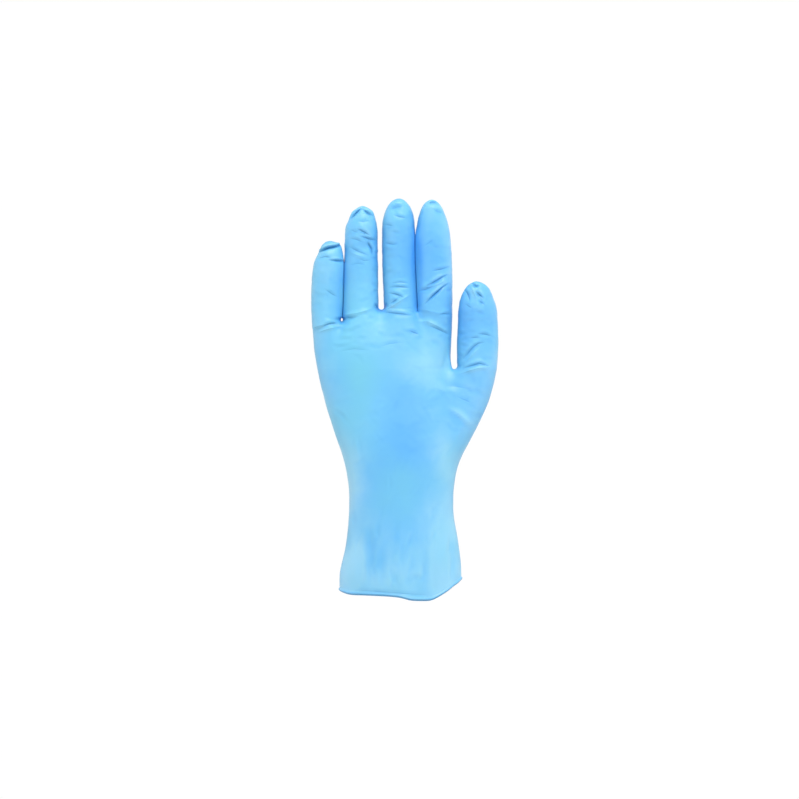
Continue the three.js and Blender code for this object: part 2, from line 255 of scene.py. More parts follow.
def body_oval(at, angle):
    """A point of the skin below the fingers, at a level and an angle."""
    left_end = -CUFF_WIDTH / 2 if at < 0 else KNUCKLE_LEFT
    right_end = CUFF_WIDTH / 2 if at < 0 else THUMB_X + THUMB["width"] / 2
    left = mix(-WRIST_WIDTH / 2, left_end, track(BODY, "left", at))
    top = KNUCKLE_HEIGHT / THUMB_CROTCH_HEIGHT
    tucked = KNUCKLE_RIGHT - PALM_TUCK * max(0, (top - at) / (top - 1)) ** 2
    right = tucked if at > 1 else mix(WRIST_WIDTH / 2, right_end, track(BODY, "right", at))
    fall = track(HEM, "fall", half_turns(angle)) * CUFF_LENGTH
    z = at * (fall if at < 0 else THUMB_CROTCH_HEIGHT)
    spot = oval(left, right, track(DEPTHS, "depth", at), track(BODY, "power", at), angle, 0, z)
    spot[1] *= 1 - 2 * dent_at("body", at, angle)
    return spot


# The palm's first level, just above the web of the thumb.
PALM_START = 1.0001


def palm_oval(share, angle):
    """A point of the palm's levels, from the web of the thumb (0) to the knuckles (1)."""
    return body_oval(mix(PALM_START, KNUCKLE_HEIGHT / THUMB_CROTCH_HEIGHT, share), angle)


def ring_angles(across):
    """The angles of a limb's ring, from the left end of its front."""
    count = 2 * (across + SIDE)
    return [(i - across / 2) * 360 / count for i in range(count)]


def stretches(ring, across):
    """Front, right, back and left of a ring of points, each with both of its ends."""
    closed = list(ring) + [ring[0]]
    right, back, left = across, across + SIDE, 2 * across + SIDE
    return closed[: right + 1], closed[right : back + 1], closed[back : left + 1], closed[left:]


def web_between(left_limb, right_limb):
    """The web between two limbs, lowest at its ends, where it meets the palm and the back."""
    near, far = left_limb[1], right_limb[3][::-1]
    web = [(a + b) / 2 for a, b in zip(near, far)]
    end = web[0][1]
    for point in web:
        point[2] -= WEB_DROP * (point[1] / end) ** 2
    return web


def roots_of(limbs):
    """The ring round the roots of limbs that stand side by side, and the webs between them."""
    parts = []
    for limb in limbs:
        ring = [limb["place"](0, a) for a in ring_angles(limb["across"])]
        parts.append(stretches(ring, limb["across"]))
    webs = [web_between(a, b) for a, b in zip(parts, parts[1:])]
    front, back = [], []
    for i, part in enumerate(parts):
        front += [webs[i - 1][0] if i else part[0][0]] + part[0][1:-1]
        back += part[2][1:-1][::-1] + ([webs[i][-1]] if i < len(webs) else [])
    return front + parts[-1][1] + back[::-1] + parts[0][3][:-1], webs


palm = dict(across=len(fingers) * ACROSS, place=palm_oval)
knuckle_ring, knuckle_webs = roots_of(fingers)
thumb_ring, thumb_webs = roots_of([palm, thumb])

corners = []
faces = []


def add(point):
    """Adds a corner to the skin and returns its number."""
    corners.append(point)
    return len(corners) - 1


def band(lower, upper):
    """The faces between two rings."""
    for i, corner in enumerate(lower):
        j = (i + 1) % len(lower)
        faces.append((corner, lower[j], upper[j], upper[i]))


def close_tip(ring, limb):
    """Closes the end of a digit with a net of faces on its dome."""
    front, right, back, left = stretches(ring, ACROSS)

    def corner_at(row, column):
        if row == 0:
            return front[column]
        if row == SIDE:
            return back[ACROSS - column]
        if column == 0:
            return left[SIDE - row]
        if column == ACROSS:
            return right[row]
        x, y = 2 * column / ACROSS - 1, 1 - 2 * row / SIDE
        lift = mix(90, DOME_ANGLES[-1], max(abs(x), abs(y)))
        at = mix(limb["start"], 1, math.sin(math.radians(lift)))
        return add(limb["place"](at, math.degrees(math.atan2(x, y))))

    net = [[corner_at(r, c) for c in range(ACROSS + 1)] for r in range(SIDE + 1)]
    for r in range(SIDE):
        for c in range(ACROSS):
            faces.append((net[r][c], net[r][c + 1], net[r + 1][c + 1], net[r + 1][c]))


def grow_digit(root, limb):
    """Lays the rows of a digit on its root and closes its tip."""
    angles = ring_angles(limb["across"])
    below = root
    for at in limb["rows"]:
        ring = [add(limb["place"](at, a)) for a in angles]
        band(below, ring)
        below = ring
    close_tip(below, limb)


def split(ring, across, at, web):
    """Splits a ring at a web into the rings of the limbs on its left and right."""
    front, right, back, left = stretches(ring, across)
    left_ring = front[:at] + web + back[-at:] + left[1:-1]
    right_ring = front[at:] + right[1:] + back[1 : across - at] + web[::-1][:-1]
    return left_ring, right_ring


def build_cuff_and_heel():
    """The skin from the hem to the web of the thumb: its rings of corners."""
    angles = ring_angles(palm["across"] + ACROSS)
    pull = [point - body_oval(1, a) for point, a in zip(thumb_ring, angles)]
    levels = [i / CUFF_ROWS - 1 for i in range(CUFF_ROWS)] + [i / HEEL_ROWS for i in range(HEEL_ROWS)]
    rings = []
    for at in levels:
        taken = max(0, at) ** TAKE_FORM
        rings.append([add(body_oval(at, a) + pull[i] * taken) for i, a in enumerate(angles)])
    rings.append([add(point) for point in thumb_ring])
    for lower, upper in zip(rings, rings[1:]):
        band(lower, upper)
    return rings


def build_palm(below):
    """The skin from the web of the thumb to the knuckles: its last ring."""
    angles = ring_angles(palm["across"])
    from_base = [corners[c] - palm_oval(0, a) for c, a in zip(below, angles)]
    to_top = [point - palm_oval(1, a) for point, a in zip(knuckle_ring, angles)]
    for at in PALM_ROWS:
        left_over, taken = (1 - at) ** LET_GO, at**TAKE_FORM
        ring = [
            add(palm_oval(at, a) + from_base[i] * left_over + to_top[i] * taken)
            for i, a in enumerate(angles)
        ]
        band(below, ring)
        below = ring
    top = [add(point) for point in knuckle_ring]
    band(below, top)
    return top


def build_skin():
    """Builds the skin from the hem to the fingertips and returns the ring of corners at the hem."""
    rings = build_cuff_and_heel()
    top = rings[-1]
    across = palm["across"] + ACROSS
    inner = [add(point) for point in thumb_webs[0][1:-1]]
    web = [top[palm["across"]]] + inner + [top[2 * across + SIDE - palm["across"]]]
    palm_base, thumb_base = split(top, across, palm["across"], web)
    grow_digit(thumb_base, thumb)

    rest = build_palm(palm_base)
    across = palm["across"]
    for finger, points in zip(fingers, knuckle_webs):
        inner = [add(point) for point in points[1:-1]]
        web = [rest[ACROSS]] + inner + [rest[2 * across + SIDE - ACROSS]]
        own, rest = split(rest, across, ACROSS, web)
        grow_digit(own, finger)
        across -= ACROSS
    grow_digit(rest, fingers[-1])
    return rings[0]


HEM_RING = build_skin()
BASE = np.array(corners)

# How often the cage under the skin is corrected, so that the skin passes through its corners.
CORRECTIONS = 3


def mesh_of(name, points, polygons):
    mesh = bpy.data.meshes.new(name)
    mesh.from_pydata(points.tolist(), [], polygons)
    return mesh


def link(name, data):
    """A new object in the scene."""
    obj = bpy.data.objects.new(name, data)
    bpy.context.scene.collection.objects.link(obj)
    return obj


def coordinates(mesh):
    flat = np.zeros(len(mesh.vertices) * 3, np.float32)
    mesh.vertices.foreach_get("co", flat)
    return flat.reshape(-1, 3).astype(float)


def subdivided(points, levels):
    """The skin on its smooth limit surface, which passes through the given points."""
    cage = mesh_of("cage", points, faces)
    obj = link("cage", cage)
    surf = obj.modifiers.new("surf", "SUBSURF")
    surf.levels = levels
    surf.use_limit_surface = True
    surf.boundary_smooth = "ALL"
    control = points.copy()
    for attempt in range(CORRECTIONS + 1):
        depsgraph = bpy.context.evaluated_depsgraph_get()
        fine = bpy.data.meshes.new_from_object(obj.evaluated_get(depsgraph))
        got = coordinates(fine)
        if attempt == CORRECTIONS:
            break
        control += points - got[: len(points)]
        cage.vertices.foreach_set("co", control.astype(np.float32).ravel())
        cage.update()
        bpy.data.meshes.remove(fine)
    polygons = np.array([tuple(p.vertices) for p in fine.polygons])
    bpy.data.objects.remove(obj)
    bpy.data.meshes.remove(cage)
    bpy.data.meshes.remove(fine)
    return got, polygons


def normals_of(points, polygons):
    a, b, c, d = (points[polygons[:, k]] for k in range(4))
    normal = np.cross(c - a, d - b)
    total = np.zeros_like(points)
    for k in range(4):
        np.add.at(total, polygons[:, k], normal)
    return total / np.maximum(np.linalg.norm(total, axis=1, keepdims=True), 1e-12)


def edges_of(polygons):
    """The edges of four-sided faces, in the order of their corners."""
    return np.concatenate([polygons[:, [k, (k + 1) % 4]] for k in range(4)])


# Where the film is stretched even between two limbs: x, z and the reaches in x and in z, in millimetres, and
# in how many rounds.
EVEN_PLACES = [
    (31, 60, 11, 13, 120),
    (55, 75.5, 9, 5, 8),
]

# Such a place ends where its weight has fallen to e to the power of minus this.
EVEN_END = 4.6


def even_out(points, polygons):
    """Moves each point of those places towards the middle of its neighbours, round by round."""
    edges = np.unique(np.sort(edges_of(polygons), axis=1), axis=0)
    both_ways = np.concatenate([edges, edges[:, ::-1]])
    for x, z, wide, high, rounds in EVEN_PLACES:
        away = ((points[:, 0] - x) / wide) ** 4 + ((points[:, 2] - z) / high) ** 4
        weight = np.where(away < EVEN_END, np.exp(-away), 0)
        ends = both_ways[weight[both_ways[:, 0]] > 0]
        count = np.maximum(np.bincount(ends[:, 0], minlength=len(points)), 1)
        for _ in range(rounds):
            for axis in range(3):
                near = points[ends[:, 1], axis]
                middle = np.bincount(ends[:, 0], weights=near, minlength=len(points)) / count
                points[:, axis] += weight * (middle - points[:, axis])
    return points


# Where two fingers touch: the seam's x at some heights, how far their sides give way, and the heights where
# the contact starts and ends. First little and ring finger, then middle and index finger.
CONTACTS = [
    ([(99, -35.6), (107, -35.3), (115, -34.8), (137, -34.1), (152, -33.7)], 1.6, 104.9, 141),
    ([(107, 9.9), (112, 9.75), (120, 9.3), (137, 8.6), (160, 8.3)], 1.6, 109.0, 157.5),
]

# Half the gap left in a seam, how softly a side bends against it, and how far it reaches off it and over it.
SEAM_GAP = 0.08
SEAM_SOFTNESS = 0.1
SEAM_REACH = 9
SEAM_OVERLAP = 3

# How far below its lower end a contact starts and how far above it that is whole, and how far it fades below
# and above its upper end.
SEAM_START = (1, 1.5)
SEAM_END = 6

# The seam's line sways from front to back: how far, and over what length.
SEAM_WAVE = 0.3
SEAM_WAVE_LENGTH = 5.5

# Small dents (and, below 0, bumps) at the fingertips, through both sides: x, z, reach and depth in
# millimetres.
TUCKS = [
    (-32.4, 165.4, 4.5, 0.9),
    (-27.5, 171.5, 4.0, 0.9),
    (-16.0, 167.5, 3.0, -0.5),
    (-51.0, 145.0, 5.5, 1.5),
    (-36.4, 148.8, 2.3, -0.8),
    (53.5, 117.5, 4.0, 0.5),
    (17.6, 175.5, 2.6, 0.7),
]

# Lines in the film: the side it is on (-1 palm, 1 back), depth (below 0 a ridge), half width, lip beside it,
# and the places it runs through, as x and z in millimetres.
FOLDS = [
    (-1, 1.5, 0.65, 0.8, [(-50.6, 145.4), (-43.2, 147.4), (-36.6, 148.5), (-34.0, 148.7)]),
    (-1, 0.9, 0.8, 0.5, [(-42.6, 139.7), (-38, 139.4), (-33.4, 139.2)]),
    (-1, 0.4, 1.1, 0.5, [(-50, 140.8), (-46, 141.8), (-42, 141.2)]),
    (-1, 0.35, 1.0, 0.6, [(-45.2, 122.3), (-41.5, 119.7), (-38.2, 118.0)]),
    (-1, 0.55, 1.1, 0.8, [(-46.4, 100.4), (-43.8, 101.5), (-38.4, 102.3)]),
    (-1, -0.6, 1.2, 0.0, [(-48.4, 97.6), (-42.4, 99.4), (-37.2, 100.3), (-34.6, 101.4)]),
    (-1, 0.95, 0.75, 0.7, [(-31.0, 164.6), (-27.1, 168.5), (-23.6, 171.0)]),
    (-1, 0.9, 0.75, 0.7, [(-22.8, 170.0), (-19.8, 168.1), (-16.6, 165.9)]),
    (-1, -0.5, 1.3, 0.0, [(-25.6, 166.2), (-22.6, 167.0), (-20.4, 166.0)]),
    (-1, 0.45, 1.3, 0.4, [(-26.0, 163.0), (-22.6, 162.7), (-18.8, 163.2)]),
    (-1, 0.9, 0.8, 0.8, [(-26.0, 158.4), (-22.7, 156.7), (-19.0, 154.6)]),
    (-1, 0.25, 0.9, 0.5, [(-30.4, 158.0), (-27.6, 156.6), (-25.4, 156.0)]),
    (-1, 0.5, 0.8, 0.7, [(-24.4, 153.9), (-19.0, 152.3), (-14.8, 151.6)]),
    (-1, 0.25, 1.0, 0.5, [(-29.6, 152.6), (-26.4, 151.8), (-23.4, 150.6)]),
    (-1, 0.85, 0.8, 0.5, [(-20.2, 150.8), (-19.0, 148.7), (-17.6, 146.8), (-16.9, 143.0)]),
    (-1, 0.4, 1.0, 0.6, [(-30.2, 147.3), (-26.7, 145.4), (-24.2, 144.3), (-20.4, 143.0)]),
    (-1, -0.3, 1.2, 0.0, [(-29.4, 144.4), (-26, 143.0), (-22.4, 141.8)]),
    (-1, 0.25, 1.0, 0.5, [(-25.6, 140.6), (-22.0, 139.4), (-18.8, 139.8)]),
    (-1, 0.2, 1.0, 0.5, [(-30.0, 137.0), (-26.0, 137.8), (-22.0, 137.2)]),
    (-1, 0.8, 1.5, 0.3, [(-7.0, 169.9), (-3.7, 170.9), (0.6, 172.1)]),
    (-1, 0.45, 0.9, 0.5, [(-4.4, 166.6), (-0.6, 165.4), (3.0, 164.8)]),
    (-1, 0.3, 1.0, 0.6, [(-9.5, 161.0), (-5.2, 160.2)]),
    (-1, 0.3, 1.0, 0.6, [(-9.6, 150.0), (-5.2, 149.0), (-2.0, 149.4)]),
    (-1, 0.65, 0.8, 0.8, [(-10.4, 109.0), (-2.9, 108.1), (6.4, 107.0)]),
    (-1, 0.5, 0.8, 0.6, [(-6.6, 123.7), (-1, 123.9), (4.6, 123.5)]),
    (-1, 0.35, 0.8, 0.6, [(-5.0, 126.3), (-0.6, 126.7), (3.6, 126.2)]),
    (-1, 0.6, 0.9, 0.7, [(-6.8, 120.2), (-2.4, 119.2), (1.6, 117.6)]),
    (-1, -0.8, 1.2, 0.0, [(-10.4, 109.9), (-5.2, 112.6), (-0.5, 115.8), (4.6, 119.2)]),
    (-1, 0.6, 1.0, 0.3, [(-6.6, 114.0), (-2, 116.8)]),
    (-1, 0.7, 0.8, 0.5, [(15.6, 174.2), (18.8, 175.1), (21.8, 174.0)]),
    (-1, 0.55, 1.3, 0.5, [(19.3, 169.9), (21.6, 168.8), (24.8, 168.0)]),
    (-1, -0.4, 1.3, 0.0, [(15.0, 170.8), (18.0, 171.4), (20.4, 170.6)]),
    (-1, 0.3, 1.0, 0.5, [(14.2, 148.4), (18.6, 151.6)]),
    (-1, 1.0, 0.75, 0.9, [(14.2, 114.0), (18.3, 118.2), (22.3, 121.7), (27.4, 125.6)]),
    (-1, 0.75, 0.9, 0.9, [(15.0, 124.4), (20.7, 127.2), (27.0, 131.0)]),
    (-1, 0.6, 1.1, 0.6, [(11.4, 121.6), (15.0, 122.6), (19.0, 124.6)]),
    (-1, -0.5, 1.1, 0.0, [(16.6, 123.6), (21.6, 125.6), (26.6, 128.4)]),
    (-1, 0.4, 1.0, 0.5, [(19, 133.4), (24, 134.2), (28.4, 135.8)]),
    (-1, -0.6, 1.3, 0.0, [(9.0, 103.2), (15.9, 103.6), (22.5, 100.3), (26.4, 97.8)]),
    (-1, 0.6, 1.0, 0.5, [(17.4, 100.4), (22.6, 98.4), (28.6, 95.6)]),
    (-1, 0.45, 1.0, 0.5, [(23.0, 107.2), (26.0, 107.8), (29.4, 107.6)]),
    (-1, 0.5, 1.0, 0.5, [(4.8, 97.8), (10.4, 95.6)]),
    (-1, -0.6, 1.3, 0.0, [(-33.7, 107.4), (-24.9, 108.8), (-18.0, 111)]),
    (-1, 0.7, 0.9, 0.0, [(-15.6, 114.0), (-14.0, 111.6), (-12.2, 110.6), (-10.4, 111.6), (-9.0, 114.0)]),
    (-1, 0.45, 1.1, 0.5, [(-34, 105.4), (-30.4, 105.4), (-26.4, 106.0)]),
    (-1, 0.25, 1.2, 0.6, [(-12, 88.6), (-6, 90.2), (0, 90.9)]),
    (-1, 0.25, 1.2, 0.6, [(-36, 85.6), (-28, 87.0), (-20, 86.2)]),
    (-1, 0.7, 1.1, 0.6, [(37.6, 122.4), (39.6, 118.9), (40.6, 115.6)]),
    (-1, -0.6, 1.2, 0.0, [(41.6, 124.6), (43.4, 120.4), (44.8, 116.4)]),
    (-1, 0.8, 0.9, 0.6, [(42.0, 126.2), (44.4, 124.4), (46.6, 124.9)]),
    (-1, 0.9, 0.9, 0.7, [(44.6, 121.0), (46.4, 119.0), (48.6, 117.4)]),
    (-1, 0.6, 0.9, 0.6, [(46.2, 115.4), (49.4, 113.4)]),
    (-1, 0.4, 1.0, 0.6, [(38.2, 113.4), (41.6, 111.2)]),
    (
        -1, 0.6, 0.9, 0.8,
        [(36.8, 81.0), (38.2, 83.0), (40.8, 85.9), (43.2, 88.4), (45.7, 90.1), (48.6, 90.8)],
    ),
    (-1, -0.5, 1.1, 0.0, [(39.6, 80.6), (42.6, 84.0), (46.0, 87.4)]),
    (-1, 0.45, 1.0, 0.6, [(46.0, 95.8), (50.0, 95.6), (53.4, 94.7)]),
    (-1, 0.35, 1.0, 0.5, [(41.0, 93.4), (46.4, 93.8)]),
    (-1, 0.65, 0.9, 0.7, [(37.6, 75.6), (41.6, 76.9), (46.6, 78.3), (51.6, 76.9)]),
    (-1, -0.55, 1.2, 0.0, [(33.8, 72.0), (40.7, 74.3), (45.7, 75.8), (52.2, 76.4)]),
    (-1, 0.3, 1.4, 0.3, [(26, 65.2), (33, 64.6), (41, 63.2)]),
    (-1, -0.7, 1.5, 0.0, [(28.6, 52.0), (35.6, 47.6), (41.6, 42.4)]),
    (-1, 0.35, 1.7, 0.0, [(27.6, 49.0), (33.4, 45.4), (38.6, 41.0)]),
    (-1, 0.35, 1.2, 0.5, [(33.8, 58.2), (41, 55.2)]),
    (-1, -0.25, 1.4, 0.0, [(18.3, 64.8), (26.1, 61.8)]),
    (-1, 0.7, 2.4, 0.3, [(-18.0, -52), (-18.2, -38), (-18.8, -20)]),
    (-1, -0.5, 3.0, 0.0, [(-28.4, -56), (-27.4, -44), (-25.8, -30)]),
    (-1, 0.45, 2.0, 0.4, [(-11.6, -52), (-12.0, -42), (-11.4, -30)]),
    (-1, 0.6, 1.8, 0.3, [(29.8, -50), (30.2, -38), (29.0, -24)]),
    (-1, -0.6, 3.0, 0.0, [(21.6, -56), (22.4, -42), (22.0, -26)]),
    (-1, 0.4, 2.2, 0.4, [(14.8, -54), (15.2, -44), (14.4, -30)]),
    (-1, 0.35, 1.8, 0.5, [(-23.6, -54), (-23.0, -46), (-22.6, -38)]),
    (-1, 0.3, 1.6, 0.5, [(-2.0, -53), (-3.6, -50.4), (-2.6, -46)]),
    (-1, 0.3, 1.6, 0.5, [(4.4, -54), (3.8, -51), (5.4, -48)]),
    (-1, 0.3, 1.8, 0.5, [(6.8, -50), (9.6, -49), (12.4, -49.6)]),
    (-1, 0.4, 1.2, 0.0, [(-27, -56.4), (-12, -57.2), (2, -58.2), (15, -59.2)]),
]

# Deeper patches of painted shade (above 0), as in the seams between fingers, and lighter ones of painted
# light: the side, x, z, reach in x, reach in z, how much.
SHADE_AND_LIGHT_PATCHES = [
    (-1, -2, 22, 15, 34, 0.55),
    (-1, -16, 66, 22, 16, 0.1),
    (-1, 14, 79, 15, 12, -0.22),
    (-1, 36, 100, 8, 19, 0.5),
    (-1, 52, 102, 8, 26, 0.2),
    (-1, 1, 138, 9, 34, 0.3),
    (-1, 20, 136, 9, 32, 0.3),
    (-1, 7.5, 136, 5, 30, 0.35),
    (-1, 9.6, 130, 2.8, 26, 0.8),
    (-1, -35.2, 118, 2.6, 24, 0.65),
    (-1, -37, 112, 4.5, 16, 0.5),
    (-1, -15.5, 138, 2.6, 16, 0.4),
    (-1, 31, 71, 4, 4, 0.3),
    (-1, -12.3, 110.6, 3.4, 2, 0.6),
    (-1, -32, 82, 16, 20, 0.12),
    (-1, -24, 138, 10, 34, 0.16),
    (-1, 28, 54, 11, 15, 0.25),
    (-1, -31, 14, 6, 20, -0.35),
    (-1, 27, 18, 6, 18, -0.3),
    (-1, -42, 34, 8, 24, -0.25),
    (-1, -4, -52, 18, 14, -0.2),
    (-1, 25, -38, 9, 28, -0.45),
    (-1, -29, -46, 8, 20, -0.3),
    (1, 0, 40, 26, 50, 0.35),
    (1, 34, 96, 9, 26, 0.35),
    (1, 9, 137, 4, 28, 0.4),
    (1, -34.5, 122, 4, 26, 0.4),
    (1, 20, -44, 12, 22, -0.3),
]

# Patches of the film that look more green than the rest, in the same way.
TINTS = [
    (-1, -30, 84, 20, 20, 0.7),
    (-1, -22, 44, 14, 26, 0.55),
    (-1, -4, 14, 12, 26, 0.5),
    (-1, -24, 122, 12, 22, 0.35),
    (-1, 8, -36, 26, 22, 0.3),
    (-1, -34.6, 122, 1.8, 22, 0.2),
    (-1, 9.2, 130, 1.8, 24, 0.2),
]

# Fine wrinkles: the side, x and z limits, how many, slant in degrees, its spread, length and depth.
WRINKLES = [
    (-1, -52, 28, 112, 134, 44, 5, 30, 5, 0.2),
    (-1, -50, 26, 136, 168, 44, 0, 25, 5, 0.16),
    (-1, -46, 28, 88, 108, 40, -5, 35, 8, 0.2),
    (-1, 34, 54, 80, 122, 26, 10, 40, 6, 0.2),
    (-1, 20, 50, 36, 76, 22, -30, 25, 10, 0.18),
    (-1, -30, 30, -56, -12, 28, 84, 16, 13, 0.18),
    (-1, -38, 24, 30, 92, 34, 0, 60, 12, 0.14),
    (-1, -26, 28, -14, 34, 22, 60, 50, 12, 0.12),
    (1, -52, 28, 114, 132, 40, 0, 18, 8, 0.3),
    (1, -50, 26, 138, 152, 34, 0, 18, 7, 0.28),
    (1, -46, 28, 88, 112, 24, 5, 30, 12, 0.3),
    (1, 34, 52, 80, 112, 14, 0, 25, 8, 0.28),
    (1, -34, 34, -56, -12, 26, 86, 14, 16, 0.22),
    (1, -32, 34, 4, 70, 18, 60, 40, 14, 0.16),
]
SEED = 11

# A fold is drawn at shares of its half width: how far out it reaches, its width at its ends and in its
# middle, the place and the width of the lip beside it, and the width of its shade.
FOLD_REACH = 5
FOLD_WIDTHS = (0.6, 1.05)
LIP_PLACE = 1.8
LIP_WIDTH = 1.2
SHADE_WIDTH = 1.4

# A fold starts and is whole at these shares of its length, and it fades where the skin turns away.
FOLD_TAPER = (-0.16, 0.42)
FOLD_FACING = 0.18

# A fold up to this half width has a dark line of painted shade, which is whole where the fold is narrower
# by the range.
CREASE_WIDEST = 1.6
CREASE_RANGE = 0.5

# How much deeper painted shade makes the colour along a fold, for each millimetre of its depth.
FOLD_SHADE = 0.34

# The distance from a fold that is stored where there is none near, in millimetres.
FAR_OFF = 9.0

# Fine wrinkles differ in length, bend, depth and half width by these factors.
WRINKLE_LENGTHS = (0.5, 1.3)
WRINKLE_BEND = 0.3
WRINKLE_DEPTHS = (0.5, 1.2)
WRINKLE_WIDTHS = (0.8, 1.3)
WRINKLE_LIP = 0.6

# Soft unevenness: upright folds on the cuff, and crosswise ones on the palm and the fingers. How high it is
# below and above two heights, those heights, its sizes in x, y and z, and its place in the noise.
RIPPLES = [
    (0.3, 0, -26, -4, (7, 9, 60), 5),
    (0, 0.16, -26, 10, (16, 16, 7), 20),
    (0, 0.14, 96, 118, (6, 6, 2.6), 40),
]

# The skin is plain up to the first height over the hem's mean, and as uneven as the rest from the second.
HEM_PLAIN = (-2, 1)

# Pressed sides are as uneven as the rest up to the first distance, and flat from the second.
PRESSED_FLAT = (0.02, 0.3)

# How far round it a corner of the inside follows the folds of the skin, in millimetres.
FOLLOW_REACH = 3.5

# How strong the dark line of painted shade is under the bead, and how far down its side it is whole.
BEAD_SHADE = 1.3
BEAD_SHADE_FULL = 0.8

# A patch starts and is whole where the skin faces its side by these shares.
PATCH_FACING = (-0.35, 0.5)


def smooth_step(low, high, value):
    """Rises smoothly from 0 to 1 between two limits."""
    t = np.clip((value - low) / (high - low), 0, 1)
    return t * t * (3 - 2 * t)


def press_fingers(points, normals):
    """Sides of fingers that touch give way a little and lie against one seam."""
    pressed = points.copy()
    for seam, give, low, high in CONTACTS:
        heights, places = zip(*seam)
        above_web = smooth_step(low - SEAM_START[0], low + SEAM_START[1], points[:, 2])
        near = above_web * (1 - smooth_step(high - SEAM_END, high + SEAM_END, points[:, 2]))
        wave = SEAM_WAVE * np.sin(2 * math.pi * points[:, 1] / SEAM_WAVE_LENGTH) * near
        at = np.interp(points[:, 2], heights, places) + wave
        for side in (-1, 1):
            off = (points[:, 0] - at) * side
            facing = np.clip(-normals[:, 0] * side, 0, 1)
            mine = (off > -SEAM_OVERLAP) & (off < SEAM_REACH) & (facing > 0)
            mine &= points[:, 2] > low - SEAM_START[0]
            bent = (off - give * near * facing - SEAM_GAP) / SEAM_SOFTNESS
            against = SEAM_GAP + SEAM_SOFTNESS * np.logaddexp(0, bent)
            kept = mix(off, np.maximum(off, SEAM_GAP), above_web)
            moved = np.minimum(kept, against)
            pressed[mine, 0] = (at + side * mix(kept, moved, near))[mine]
    return pressed


def along_line(line, points):
    """Distance of each point to a line, with its sign (above it is positive) and its place along it."""
    spots = points[:, [0, 2]]
    line = np.array(line, float)
    total = np.linalg.norm(np.diff(line, axis=0), axis=1).sum()
    best = np.full(len(spots), np.inf)
    sign = np.ones(len(spots))
    place = np.zeros(len(spots))
    run = 0
    for start, end in zip(line, line[1:]):
        length = np.linalg.norm(end - start)
        way = (end - start) / length
        t = np.clip((spots - start) @ way, 0, length)
        off = spots - start - t[:, None] * way
        far = np.linalg.norm(off, axis=1)
        closer = far < best
        best = np.where(closer, far, best)
        sign = np.where(closer, np.sign(way[0] * off[:, 1] - way[1] * off[:, 0]), sign)
        place = np.where(closer, run + t, place)
        run += length
    return best, sign * best, np.minimum(place, total - place) / total


def reached_by(line, side, reach, points, normals):
    """The points within reach of a line that face its side."""
    xs, zs = zip(*line)
    near = (points[:, 0] > min(xs) - reach) & (points[:, 0] < max(xs) + reach)
    near &= (points[:, 2] > min(zs) - reach) & (points[:, 2] < max(zs) + reach)
    return np.flatnonzero(near & (normals[:, 1] * side > 0))


def bell(distance, width):
    """1 in the middle, and fading outwards over a width."""
    return np.exp(-((distance / width) ** 2))


def press_folds(points, normals, folds):
    """How far folds move each point along its normal, how far its nearest fold is and how strong it is
    there, and how much painted shade deepens the film along them and painted light lightens it on their
    lips."""
    shift = np.zeros(len(points))
    shade = np.zeros(len(points))
    crease_far = np.full(len(points), FAR_OFF)
    crease = np.zeros(len(points))
    for side, depth, width, lip, line in folds:
        spot = reached_by(line, side, FOLD_REACH * width, points, normals)
        if not len(spot):
            continue
        far, signed, place = along_line(line, points[spot])
        taper = smooth_step(*FOLD_TAPER, place)
        weight = taper * smooth_step(0, FOLD_FACING, normals[spot, 1] * side)
        wide = width * mix(*FOLD_WIDTHS, taper)
        groove = bell(far, wide) * weight
        beside = bell(signed - LIP_PLACE * wide, LIP_WIDTH * wide) * weight
        shift[spot] += depth * (lip * beside - groove)
        # Painted shade along the fold, and painted light on the lip beside it.
        shade[spot] += depth * (bell(far, SHADE_WIDTH * wide) * weight - lip * beside)
        crisp = np.clip((CREASE_WIDEST - width) / CREASE_RANGE, 0, 1)
        # The strength of the fold's dark line: painted shade in the colour and a groove in the bump.
        strong = crisp * depth * weight * np.exp(-(far**4))
        nearer = far < np.abs(crease_far[spot])
        crease_far[spot] = np.where(nearer, signed, crease_far[spot])
        crease[spot] = np.where(nearer, strong, crease[spot])
    return shift, crease_far, crease, shade


def press_tucks(points):
    """How far the small dents and bumps of the fingertips move each point along its normal."""
    shift = np.zeros(len(points))
    for x, z, reach, depth in TUCKS:
        shift -= depth * bell(np.hypot(points[:, 0] - x, points[:, 2] - z), reach)
    return shift


def fine_wrinkles():
    """Short bent folds, strewn at random over the areas of the table."""
    random = np.random.default_rng(SEED)
    lines = []
    for side, left, right, low, high, count, slant, spread, length, depth in WRINKLES:
        for _ in range(count):
            x, z = random.uniform(left, right), random.uniform(low, high)
            turn = math.radians(slant + spread * random.uniform(-1, 1))
            half = length / 2 * random.uniform(*WRINKLE_LENGTHS)
            bend = WRINKLE_BEND * random.uniform(-1, 1)
            dx, dz = half * math.cos(turn), half * math.sin(turn)
            line = [(x - dx, z - dz), (x - dz * bend, z + dx * bend), (x + dx, z + dz)]
            deep = depth * random.uniform(*WRINKLE_DEPTHS)
            lines.append((side, deep, random.uniform(*WRINKLE_WIDTHS), WRINKLE_LIP, line))
    return lines


def ripples(points):
    """How far the soft unevenness moves each point along its normal."""
    shift = np.zeros(len(points))
    for below, above, low, high, sizes, offset in RIPPLES:
        amount = mix(below, above, smooth_step(low, high, points[:, 2]))
        for i, (x, y, z) in enumerate((points / sizes + [0, 0, offset]).tolist()):
            shift[i] += amount[i] * noise.noise((x, y, z))
    return shift


def patches_at(points, normals, patches):
    """How much of a table's patches there is at each point."""
    tone = np.zeros(len(points))
    for side, x, z, wide, high, amount in patches:
        facing = smooth_step(*PATCH_FACING, normals[:, 1] * side)
        tone += amount * facing * bell(points[:, 0] - x, wide) * bell(points[:, 2] - z, high)
    return tone


